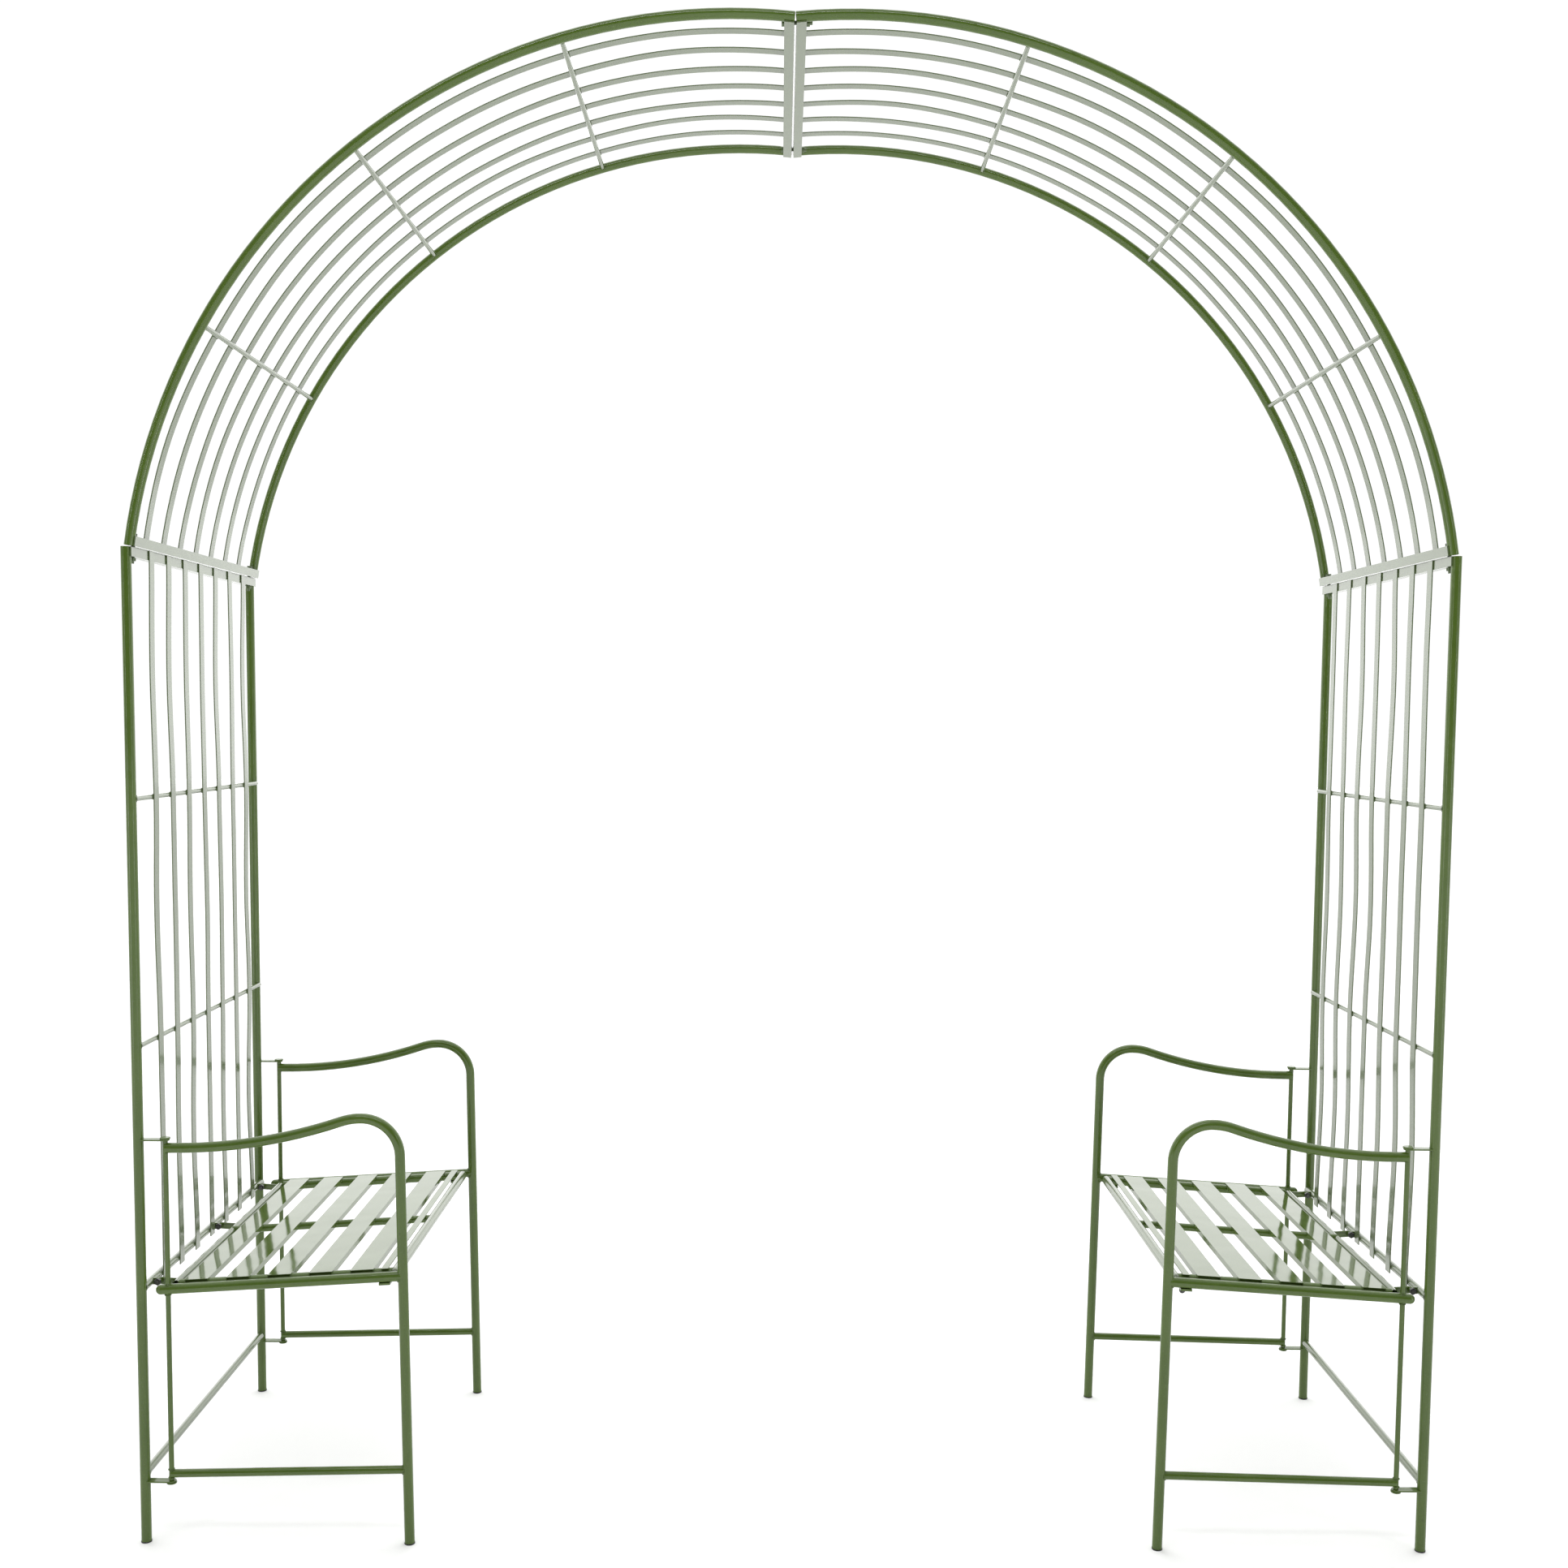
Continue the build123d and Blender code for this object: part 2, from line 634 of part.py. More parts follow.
add_pair("posts", front_rear([post()]))
add_pair("trellis_slats", [trellis_slat(y) for y in slat_rows])
add_pair("arc_tubes", front_rear([arc_tube()]))
add_pair("arc_slats", [arc_slat(y) for y in slat_rows])
rods = [trellis_rod(i) for i in range(side_rods)] + [arc_rod(i) for i in range(arc_rods)]
nodes["trellis_rods"] = left_right(rods)
nodes["cross_tubes"] = left_right([bottom_tube(), stretcher()])
nodes["panel_channels"] = left_right([drilled(panel_channel_plane(), 0, shoulder_joints)])
left_crown = drilled(crown_plane, weld_gap, crown_joints)
left_shoulder = drilled(shoulder_plane, weld_gap, shoulder_joints)
nodes["arc_channels"] = left_right([left_crown, left_shoulder])
nodes["joint_bolts"] = [j[0] for j in crown_joints] + left_right([j[0] for j in shoulder_joints])
nodes["joint_nuts"] = [j[1] for j in crown_joints] + left_right([j[1] for j in shoulder_joints])
nodes["post_foot_caps"] = left_right(front_rear([foot_cap(-post_x, -post_y, 0)]))
arm_tabs = [arm_tab(upper_tab_height), arm_tab(lower_tab_height)]
nodes["arm_hinge_tabs"] = left_right(front_rear(arm_tabs))
nodes["seat_hinge_ears"] = left_right([seat_hinge_ear(y) for y in hinge_rows])
seat_fasteners = [seat_hinge_bolt(y) for y in hinge_rows]
nodes["seat_hinge_bolts"] = left_right([pair[0] for pair in seat_fasteners])
nodes["seat_hinge_nuts"] = left_right([pair[1] for pair in seat_fasteners])

add_pair("seat_rear_tube", [seat_rear_tube()])
add_pair("seat_front_tube", [seat_front_tube()])
add_pair("seat_cross_rails", front_rear([seat_end_rail()]) + [seat_middle_rail()])
add_pair("seat_slats", [seat_slat(i) for i in range(seat_slat_count)])
add_pair("seat_front_strip", [seat_front_strip()])
add_pair("seat_hinge_straps", [seat_hinge_strap(y) for y in hinge_rows])

add_four("armrest_leg", armrest_leg())
add_four("hinge_upright", hinge_upright())
add_four("seat_rail", seat_rail())
add_four("lower_rail", lower_rail())
add_four("leg_cap", foot_cap(foot_x, -post_y, leg_lean))
add_four("latch_lug", latch_lug())
add_four("latch_bolt", latch_bolt())
nodes["right_front_latch_nut"] = [mirror(latch_nut(), about=Plane.YZ)]

os.makedirs("parts", exist_ok=True)
for name, shapes in nodes.items():
    solids = [solid for shape in shapes for solid in shape.solids()]
    part = solids[0] if len(solids) == 1 else Compound(solids)
    export_step(part, "parts/" + name + ".step")
    print(name, len(solids), "solids")
print(len(nodes), "nodes; arc radius", round(arc_radius, 1), "mm")
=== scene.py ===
import bpy
import math
import random
from mathutils import Vector, Matrix


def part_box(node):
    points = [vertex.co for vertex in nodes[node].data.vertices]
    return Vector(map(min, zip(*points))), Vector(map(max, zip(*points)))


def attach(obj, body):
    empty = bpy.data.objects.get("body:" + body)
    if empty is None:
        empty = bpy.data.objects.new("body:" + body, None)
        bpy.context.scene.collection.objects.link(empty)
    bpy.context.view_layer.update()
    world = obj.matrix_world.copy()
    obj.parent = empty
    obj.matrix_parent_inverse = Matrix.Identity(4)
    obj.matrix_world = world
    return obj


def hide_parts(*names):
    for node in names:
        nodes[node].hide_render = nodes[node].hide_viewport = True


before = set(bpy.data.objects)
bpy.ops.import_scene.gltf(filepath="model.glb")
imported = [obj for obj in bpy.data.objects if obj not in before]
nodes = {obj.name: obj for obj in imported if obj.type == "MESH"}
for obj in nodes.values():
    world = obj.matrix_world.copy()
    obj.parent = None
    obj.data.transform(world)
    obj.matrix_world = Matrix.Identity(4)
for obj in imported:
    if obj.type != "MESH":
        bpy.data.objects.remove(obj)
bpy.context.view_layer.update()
scene = bpy.context.scene
print("frame loaded:", len(nodes), "nodes")

# camera at eye height in front of the arch, levelled a little down
view = {"place": (-0.0164, -2.8856, 1.3206), "pitch": 0.0744, "roll": 0.0075,
        "focal": 38.54, "shiftX": 0.0036, "shiftY": 0.0360}
cameraData = bpy.data.cameras.new("viewpoint")
cameraData.sensor_width = 36
cameraData.lens = view["focal"]
cameraData.shift_x = view["shiftX"]
cameraData.shift_y = view["shiftY"]
cameraData.clip_end = 100
camera = bpy.data.objects.new("viewpoint", cameraData)
scene.collection.objects.link(camera)
turn = Matrix.Rotation(math.pi / 2 - view["pitch"], 4, "X") @ Matrix.Rotation(view["roll"], 4, "Z")
camera.matrix_world = Matrix.Translation(view["place"]) @ turn
scene.camera = camera


def addSocket(tree, name, kind, value=None, output=False):
    socket = tree.interface.new_socket(name, in_out="OUTPUT" if output else "INPUT", socket_type=kind)
    if value is not None:
        socket.default_value = value
    return socket


def join(tree, source, target):
    tree.links.new(source, target)


def addMath(tree, operation, first, second):
    # a maths node between two sockets or numbers
    node = tree.nodes.new("ShaderNodeMath")
    node.operation = operation
    for slot, value in zip(node.inputs, (first, second)):
        if isinstance(value, (int, float)):
            slot.default_value = value
        else:
            join(tree, value, slot)
    return node.outputs[0]


def makeOrangePeel():
    # fine skin of a sprayed and baked powder coat, with slow waves under it
    tree = bpy.data.node_groups.new("orangePeel", "ShaderNodeTree")
    addSocket(tree, "Peel Scale", "NodeSocketFloat", 900.0)
    addSocket(tree, "Peel Depth", "NodeSocketFloat", 0.12)
    addSocket(tree, "Wave Scale", "NodeSocketFloat", 35.0)
    addSocket(tree, "Wave Depth", "NodeSocketFloat", 0.1)
    addSocket(tree, "Normal", "NodeSocketVector", output=True)
    start = tree.nodes.new("NodeGroupInput")
    end = tree.nodes.new("NodeGroupOutput")
    place = tree.nodes.new("ShaderNodeTexCoord")
    peel = tree.nodes.new("ShaderNodeTexNoise")
    peel.inputs["Detail"].default_value = 1.0
    wave = tree.nodes.new("ShaderNodeTexNoise")
    wave.inputs["Detail"].default_value = 1.0
    join(tree, place.outputs["Object"], peel.inputs["Vector"])
    join(tree, place.outputs["Object"], wave.inputs["Vector"])
    join(tree, start.outputs["Peel Scale"], peel.inputs["Scale"])
    join(tree, start.outputs["Wave Scale"], wave.inputs["Scale"])
    slow = tree.nodes.new("ShaderNodeBump")
    slow.inputs["Distance"].default_value = 0.004
    join(tree, wave.outputs["Fac"], slow.inputs["Height"])
    join(tree, start.outputs["Wave Depth"], slow.inputs["Strength"])
    fine = tree.nodes.new("ShaderNodeBump")
    fine.inputs["Distance"].default_value = 0.0004
    join(tree, peel.outputs["Fac"], fine.inputs["Height"])
    join(tree, start.outputs["Peel Depth"], fine.inputs["Strength"])
    join(tree, slow.outputs["Normal"], fine.inputs["Normal"])
    join(tree, fine.outputs["Normal"], end.inputs["Normal"])
    return tree


def makeCoatTone():
    # thin and thick places of the coat, pale grit in it, and small dark nicks
    tree = bpy.data.node_groups.new("coatTone", "ShaderNodeTree")
    addSocket(tree, "Coat", "NodeSocketColor", (0.1, 0.2, 0.05, 1))
    addSocket(tree, "Thin", "NodeSocketColor", (0.2, 0.3, 0.1, 1))
    addSocket(tree, "Thin Amount", "NodeSocketFloat", 0.4)
    addSocket(tree, "Grit Colour", "NodeSocketColor", (0.5, 0.52, 0.45, 1))
    addSocket(tree, "Grit Amount", "NodeSocketFloat", 0.1)
    addSocket(tree, "Nick Colour", "NodeSocketColor", (0.03, 0.035, 0.02, 1))
    addSocket(tree, "Nick Amount", "NodeSocketFloat", 0.3)
    addSocket(tree, "Gloss", "NodeSocketFloat", 0.25)
    addSocket(tree, "Gloss Spread", "NodeSocketFloat", 0.1)
    addSocket(tree, "Colour", "NodeSocketColor", output=True)
    addSocket(tree, "Roughness", "NodeSocketFloat", output=True)
    start = tree.nodes.new("NodeGroupInput")
    end = tree.nodes.new("NodeGroupOutput")
    place = tree.nodes.new("ShaderNodeTexCoord")

    def noise(scale, detail):
        node = tree.nodes.new("ShaderNodeTexNoise")
        node.inputs["Scale"].default_value = scale
        node.inputs["Detail"].default_value = detail
        join(tree, place.outputs["Object"], node.inputs["Vector"])
        return node.outputs["Fac"]

    def mask(source, low, high, amount):
        node = tree.nodes.new("ShaderNodeMapRange")
        node.inputs["From Min"].default_value = low
        node.inputs["From Max"].default_value = high
        join(tree, source, node.inputs["Value"])
        join(tree, start.outputs[amount], node.inputs["To Max"])
        return node.outputs["Result"]

    def blend(amount, first, second):
        node = tree.nodes.new("ShaderNodeMix")
        node.data_type = "RGBA"
        join(tree, amount, node.inputs[0])
        join(tree, first, node.inputs[6])
        join(tree, second, node.inputs[7])
        return node.outputs[2]

    cloud = noise(11.0, 5.0)
    colour = blend(mask(cloud, 0.35, 0.7, "Thin Amount"), start.outputs["Coat"], start.outputs["Thin"])
    colour = blend(mask(noise(420.0, 3.0), 0.6, 0.75, "Grit Amount"), colour, start.outputs["Grit Colour"])
    colour = blend(mask(noise(95.0, 2.0), 0.73, 0.78, "Nick Amount"), colour, start.outputs["Nick Colour"])
    join(tree, colour, end.inputs["Colour"])
    rough = addMath(tree, "MULTIPLY", cloud, start.outputs["Gloss Spread"])
    join(tree, addMath(tree, "ADD", rough, start.outputs["Gloss"]), end.inputs["Roughness"])
    return tree


orangePeel = makeOrangePeel()
coatTone = makeCoatTone()


def makeFinish(name, look):
    # a coated or moulded surface from its settings
    material = bpy.data.materials.new(name)
    material.use_nodes = True
    tree = material.node_tree
    shader = tree.nodes["Principled BSDF"]
    tone = tree.nodes.new("ShaderNodeGroup")
    tone.node_tree = coatTone
    tone.inputs["Coat"].default_value = (*look["coat"], 1)
    tone.inputs["Thin"].default_value = (*look["thin"], 1)
    tone.inputs["Thin Amount"].default_value = look["thinAmount"]
    tone.inputs["Grit Amount"].default_value = look["grit"]
    tone.inputs["Nick Amount"].default_value = look["nicks"]
    tone.inputs["Gloss"].default_value = look["roughness"]
    tone.inputs["Gloss Spread"].default_value = look["spread"]
    skin = tree.nodes.new("ShaderNodeGroup")
    skin.node_tree = orangePeel
    skin.inputs["Peel Scale"].default_value = look["peelScale"]
    skin.inputs["Peel Depth"].default_value = look["peelDepth"]
    skin.inputs["Wave Scale"].default_value = look["waveScale"]
    skin.inputs["Wave Depth"].default_value = look["waveDepth"]
    join(tree, tone.outputs["Colour"], shader.inputs["Base Color"])
    join(tree, tone.outputs["Roughness"], shader.inputs["Roughness"])
    join(tree, skin.outputs["Normal"], shader.inputs["Normal"])
    shader.inputs["IOR"].default_value = look["ior"]
    shader.inputs["Coat Weight"].default_value = look["coatWeight"]
    shader.inputs["Coat Roughness"].default_value = look["coatRoughness"]
    shader.inputs["Coat IOR"].default_value = look["coatIor"]
    return material


# the same green coat on tubes, arch bars and bench slats, flatter and glossier in that order; the bar and seat
# copies get a paler, greyer base colour than the tubes, a painted reflection of the white studio at grazing
# angles
finishes = {
    "tubePaint": {
        "coat": (0.060, 0.106, 0.013), "thin": (0.086, 0.140, 0.024), "thinAmount": 0.45, "grit": 0.05,
        "nicks": 0.35, "roughness": 0.09, "spread": 0.08, "peelScale": 900, "peelDepth": 0.06, "waveScale": 40,
        "waveDepth": 0.06, "ior": 1.5, "coatWeight": 0.0, "coatRoughness": 0.12, "coatIor": 1.5},
    # paler, greyer copy of the tube coat: painted reflection of the white studio on flat faces and grazing tubes
    "barPaintPaintedSheen": {
        "coat": (0.082, 0.116, 0.046), "thin": (0.106, 0.142, 0.066), "thinAmount": 0.4, "grit": 0.05,
        "nicks": 0.25, "roughness": 0.2, "spread": 0.08, "peelScale": 900, "peelDepth": 0.04, "waveScale": 26,
        "waveDepth": 0.04, "ior": 1.6, "coatWeight": 0.5, "coatRoughness": 0.08, "coatIor": 1.6},
    # slightly paler copy of the tube coat: painted reflection on the seat slats and front strip
    "seatPaintPaintedSheen": {
        "coat": (0.072, 0.112, 0.028), "thin": (0.094, 0.136, 0.042), "thinAmount": 0.4, "grit": 0.05,
        "nicks": 0.25, "roughness": 0.05, "spread": 0.06, "peelScale": 900, "peelDepth": 0.03, "waveScale": 14,
        "waveDepth": 0.15, "ior": 1.6, "coatWeight": 0.15, "coatRoughness": 0.03, "coatIor": 1.6},
    "greenFastener": {
        "coat": (0.050, 0.085, 0.020), "thin": (0.085, 0.125, 0.040), "thinAmount": 0.6, "grit": 0.15,
        "nicks": 0.6, "roughness": 0.25, "spread": 0.15, "peelScale": 1500, "peelDepth": 0.25, "waveScale": 300,
        "waveDepth": 0.05, "ior": 1.55, "coatWeight": 0.2, "coatRoughness": 0.15, "coatIor": 1.5},
    "darkSteel": {
        "coat": (0.018, 0.020, 0.016), "thin": (0.045, 0.048, 0.038), "thinAmount": 0.6, "grit": 0.2,
        "nicks": 0.4, "roughness": 0.3, "spread": 0.2, "peelScale": 1500, "peelDepth": 0.3, "waveScale": 300,
        "waveDepth": 0.05, "ior": 1.5, "coatWeight": 0.3, "coatRoughness": 0.2, "coatIor": 1.5},
    "footRubber": {
        "coat": (0.012, 0.012, 0.012), "thin": (0.03, 0.03, 0.028), "thinAmount": 0.6, "grit": 0.3,
        "nicks": 0.2, "roughness": 0.55, "spread": 0.2, "peelScale": 1200, "peelDepth": 0.4, "waveScale": 200,
        "waveDepth": 0.05, "ior": 1.5, "coatWeight": 0.0, "coatRoughness": 0.2, "coatIor": 1.5},
}
looks = {name: makeFinish(name, look) for name, look in finishes.items()}


darkParts = ("seat_hinge_bolts", "seat_hinge_nuts", "latch_bolt", "latch_nut")
# tubes and bars that take the paler bar colour: painted reflection of the white studio they catch at grazing
# angles
sheenPaintedParts = ("slats", "channels", "trellis_rods", "cross_tubes", "front_tube", "rear_tube")


def finishFor(node):
    if "cap" in node:
        return looks["footRubber"]
    if any(word in node for word in darkParts):
        return looks["darkSteel"]
    if node in ("joint_bolts", "joint_nuts"):
        return looks["greenFastener"]
    if "seat_slats" in node or "front_strip" in node:
        return looks["seatPaintPaintedSheen"]
    if any(word in node for word in sheenPaintedParts):
        return looks["barPaintPaintedSheen"]
    return looks["tubePaint"]


for name, node in nodes.items():
    node.data.materials.clear()
    node.data.materials.append(finishFor(name))
print("finishes assigned")

# folded and cut edges of the small flat pieces are eased, by their width in metres
easedEdges = {"channel": 0.0005, "hinge_straps": 0.0005, "hinge_ears": 0.0005, "hinge_tabs": 0.0005,
              "latch_lug": 0.0006, "bolt": 0.0005, "nut": 0.0005, "cap": 0.0008, "front_strip": 0.0008,
              "seat_slats": 0.0007}
for name, node in nodes.items():
    width = next((size for word, size in easedEdges.items() if word in name), 0)
    if not width:
        continue
    joined = node.modifiers.new("joinCorners", "WELD")
    joined.merge_threshold = 0.00001
    ease = node.modifiers.new("easedEdge", "BEVEL")
    ease.width = width
    ease.segments = 2
    ease.limit_method = "ANGLE"
    ease.angle_limit = math.radians(50)
    ease.use_clamp_overlap = True
print("small edges eased")


def meshFromPaths(name, paths, values=()):
    # polylines as mesh edges; each path is a list of points, with named values kept on them
    points, edges = [], []
    kept = {key: [] for key in values}
    for path in paths:
        first = len(points)
        points += [p["at"] for p in path["points"]]
        count = len(path["points"])
        edges += [(first + i, first + i + 1) for i in range(count - 1)]
        if path.get("closed"):
            edges.append((first + count - 1, first))
        for key in values:
            kept[key] += [p[key] for p in path["points"]]
    mesh = bpy.data.meshes.new(name)
    mesh.from_pydata(points, edges, [])
    for key in values:
        vector = isinstance(kept[key][0], (tuple, list, Vector))
        layer = mesh.attributes.new(key, "FLOAT_VECTOR" if vector else "FLOAT", "POINT")
        for item, value in zip(layer.data, kept[key]):
            if vector:
                item.vector = value
            else:
                item.value = value
    piece = bpy.data.objects.new(name, mesh)
    scene.collection.objects.link(piece)
    return piece


def growPiece(piece, tree, settings):
    # runs a geometry tree on a piece and keeps its result as a plain mesh
    modifier = piece.modifiers.new("grow", "NODES")
    modifier.node_group = tree
    sockets = {item.name: item.identifier for item in tree.interface.items_tree if item.in_out == "INPUT"}
    for label, value in settings.items():
        modifier[sockets[label]] = value
    piece.update_tag()
    graph = bpy.context.evaluated_depsgraph_get()
    graph.update()
    result = bpy.data.meshes.new_from_object(piece.evaluated_get(graph), depsgraph=graph)
    piece.modifiers.remove(modifier)
    piece.data = result
    result.name = piece.name
    return piece


def addNamedValue(tree, name, kind="FLOAT"):
    node = tree.nodes.new("GeometryNodeInputNamedAttribute")
    node.data_type = kind
    node.inputs["Name"].default_value = name
    return node.outputs["Attribute"]


def makeFlatBars():
    # a thin bar with eased edges along each path, bowed between its welds
    tree = bpy.data.node_groups.new("flatBars", "GeometryNodeTree")
    addSocket(tree, "Paths", "NodeSocketGeometry")
    addSocket(tree, "Width", "NodeSocketFloat", 0.02)
    addSocket(tree, "Thickness", "NodeSocketFloat", 0.002)
    addSocket(tree, "Edge Radius", "NodeSocketFloat", 0.0007)
    addSocket(tree, "Bow", "NodeSocketFloat", 0.004)
    addSocket(tree, "Ripple", "NodeSocketFloat", 0.0006)
    addSocket(tree, "Ripple Scale", "NodeSocketFloat", 6.0)
    addSocket(tree, "Seed", "NodeSocketFloat", 3.0)
    addSocket(tree, "Finish", "NodeSocketMaterial")
    addSocket(tree, "Bars", "NodeSocketGeometry", output=True)
    start = tree.nodes.new("NodeGroupInput")
    end = tree.nodes.new("NodeGroupOutput")
    facing = addNamedValue(tree, "facing", "FLOAT_VECTOR")
    noise = tree.nodes.new("ShaderNodeTexNoise")
    noise.noise_dimensions = "4D"
    noise.inputs["Detail"].default_value = 1.0
    place = tree.nodes.new("GeometryNodeInputPosition")
    join(tree, place.outputs[0], noise.inputs["Vector"])
    join(tree, start.outputs["Seed"], noise.inputs["W"])
    join(tree, start.outputs["Ripple Scale"], noise.inputs["Scale"])
    centred = addMath(tree, "SUBTRACT", noise.outputs["Fac"], 0.5)
    ripple = addMath(tree, "MULTIPLY", addMath(tree, "MULTIPLY", centred, start.outputs["Ripple"]),
                     addNamedValue(tree, "loose"))
    bow = addMath(tree, "MULTIPLY", addNamedValue(tree, "slack"), start.outputs["Bow"])
    push = tree.nodes.new("ShaderNodeVectorMath")
    push.operation = "SCALE"
    join(tree, facing, push.inputs[0])
    join(tree, addMath(tree, "ADD", ripple, bow), push.inputs["Scale"])
    toCurve = tree.nodes.new("GeometryNodeMeshToCurve")
    join(tree, start.outputs["Paths"], toCurve.inputs["Mesh"])
    bend = tree.nodes.new("GeometryNodeSetPosition")
    join(tree, toCurve.outputs["Curve"], bend.inputs["Geometry"])
    join(tree, push.outputs["Vector"], bend.inputs["Offset"])
    upright = tree.nodes.new("GeometryNodeSetCurveNormal")
    upright.mode = "FREE"
    join(tree, bend.outputs["Geometry"], upright.inputs["Curve"])
    join(tree, facing, upright.inputs["Normal"])
    outline = tree.nodes.new("GeometryNodeCurvePrimitiveQuadrilateral")
    join(tree, start.outputs["Thickness"], outline.inputs["Width"])
    join(tree, start.outputs["Width"], outline.inputs["Height"])
    eased = tree.nodes.new("GeometryNodeFilletCurve")
    eased.mode = "POLY"
    eased.inputs["Count"].default_value = 3
    join(tree, outline.outputs["Curve"], eased.inputs["Curve"])
    join(tree, start.outputs["Edge Radius"], eased.inputs["Radius"])
    rolled = tree.nodes.new("GeometryNodeCurveToMesh")
    rolled.inputs["Fill Caps"].default_value = True
    join(tree, upright.outputs["Curve"], rolled.inputs["Curve"])
    join(tree, eased.outputs["Curve"], rolled.inputs["Profile Curve"])
    smooth = tree.nodes.new("GeometryNodeSetShadeSmooth")
    smooth.domain = "EDGE"
    corner = tree.nodes.new("GeometryNodeInputMeshEdgeAngle")
    flat = tree.nodes.new("FunctionNodeCompare")
    flat.data_type = "FLOAT"
    flat.operation = "LESS_THAN"
    flat.inputs[1].default_value = math.radians(12)
    join(tree, corner.outputs["Unsigned Angle"], flat.inputs[0])
    join(tree, flat.outputs[0], smooth.inputs["Shade Smooth"])
    join(tree, rolled.outputs["Mesh"], smooth.inputs["Geometry"])
    real = tree.nodes.new("GeometryNodeRealizeInstances")
    join(tree, smooth.outputs["Geometry"], real.inputs["Geometry"])
    paint = tree.nodes.new("GeometryNodeSetMaterial")
    join(tree, real.outputs["Geometry"], paint.inputs["Geometry"])
    join(tree, start.outputs["Finish"], paint.inputs["Material"])
    join(tree, paint.outputs["Geometry"], end.inputs["Bars"])
    return tree


def makeWeldBeads():
    # overlapping small beads along each seam path
    tree = bpy.data.node_groups.new("weldBeads", "GeometryNodeTree")
    addSocket(tree, "Seams", "NodeSocketGeometry")
    addSocket(tree, "Bead Step", "NodeSocketFloat", 0.0022)
    addSocket(tree, "Bead Radius", "NodeSocketFloat", 0.0014)
    addSocket(tree, "Smallest", "NodeSocketFloat", 0.7)
    addSocket(tree, "Largest", "NodeSocketFloat", 1.2)
    addSocket(tree, "Seed", "NodeSocketInt", 5)
    addSocket(tree, "Finish", "NodeSocketMaterial")
    addSocket(tree, "Beads", "NodeSocketGeometry", output=True)
    start = tree.nodes.new("NodeGroupInput")
    end = tree.nodes.new("NodeGroupOutput")
    toCurve = tree.nodes.new("GeometryNodeMeshToCurve")
    join(tree, start.outputs["Seams"], toCurve.inputs["Mesh"])
    even = tree.nodes.new("GeometryNodeResampleCurve")
    even.mode = "LENGTH"
    join(tree, toCurve.outputs["Curve"], even.inputs["Curve"])
    join(tree, start.outputs["Bead Step"], even.inputs["Length"])
    bead = tree.nodes.new("GeometryNodeMeshIcoSphere")
    bead.inputs["Subdivisions"].default_value = 2
    join(tree, start.outputs["Bead Radius"], bead.inputs["Radius"])
    spread = tree.nodes.new("FunctionNodeRandomValue")
    spread.data_type = "FLOAT"
    join(tree, start.outputs["Smallest"], spread.inputs[2])
    join(tree, start.outputs["Largest"], spread.inputs[3])
    join(tree, start.outputs["Seed"], spread.inputs["Seed"])
    lay = tree.nodes.new("GeometryNodeInstanceOnPoints")
    join(tree, even.outputs["Curve"], lay.inputs["Points"])
    join(tree, bead.outputs["Mesh"], lay.inputs["Instance"])
    join(tree, spread.outputs[1], lay.inputs["Scale"])
    real = tree.nodes.new("GeometryNodeRealizeInstances")
    join(tree, lay.outputs["Instances"], real.inputs["Geometry"])
    smooth = tree.nodes.new("GeometryNodeSetShadeSmooth")
    join(tree, real.outputs["Geometry"], smooth.inputs["Geometry"])
    paint = tree.nodes.new("GeometryNodeSetMaterial")
    join(tree, smooth.outputs["Geometry"], paint.inputs["Geometry"])
    join(tree, start.outputs["Finish"], paint.inputs["Material"])
    join(tree, paint.outputs["Geometry"], end.inputs["Beads"])
    return tree


flatBars = makeFlatBars()
weldBeads = makeWeldBeads()
print("geometry trees built")

# bars of the side panels: straight up, welded at their rods, bowed a little outwards between them
sideBars = {"count": 7, "pitch": 0.075, "welds": (0.414, 0.7993, 1.1847, 1.570), "line": 1.004,
            "foot": 0.4045, "top": 1.570, "width": 0.02, "thickness": 0.002, "edge": 0.0007,
            "bow": 0.0042, "inward": -0.3, "ripple": 0.0012, "rippleScale": 5.0, "step": 0.02, "seed": 21}
# bars of the arcs: bent round the same centre as the tubes
arcBars = {"radius": 0.9345, "centre": 0.090, "height": 1.4327, "crown": -4.57, "shoulder": 80.5,
           "welds": (-5.5, 16.2, 37.95, 59.7, 81.4), "bow": 0.0022, "inward": -0.6, "ripple": 0.0010,
           "rippleScale": 7.0, "seed": 34}


def slackAt(place, welds):
    # 0 at the welds and 1 half way between them, with the number of the bay
    for bay in range(len(welds) - 1):
        if place <= welds[bay + 1] or bay == len(welds) - 2:
            part = (place - welds[bay]) / (welds[bay + 1] - welds[bay])
            return max(0.0, math.sin(math.pi * min(max(part, 0.0), 1.0))), bay


def rollBars(name, paths, settings, seed, node):
    # the bars of one panel or arc, in place of their plain node
    stock = sideBars
    piece = meshFromPaths(name, paths, ("facing", "slack", "loose"))
    growPiece(piece, flatBars, {
        "Width": stock["width"], "Thickness": stock["thickness"], "Edge Radius": stock["edge"],
        "Bow": settings["bow"], "Ripple": settings["ripple"], "Ripple Scale": settings["rippleScale"],
        "Seed": seed, "Finish": looks["barPaintPaintedSheen"]})
    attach(piece, "arch")
    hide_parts(node)
    print(name, len(piece.data.polygons), "faces")
    return piece


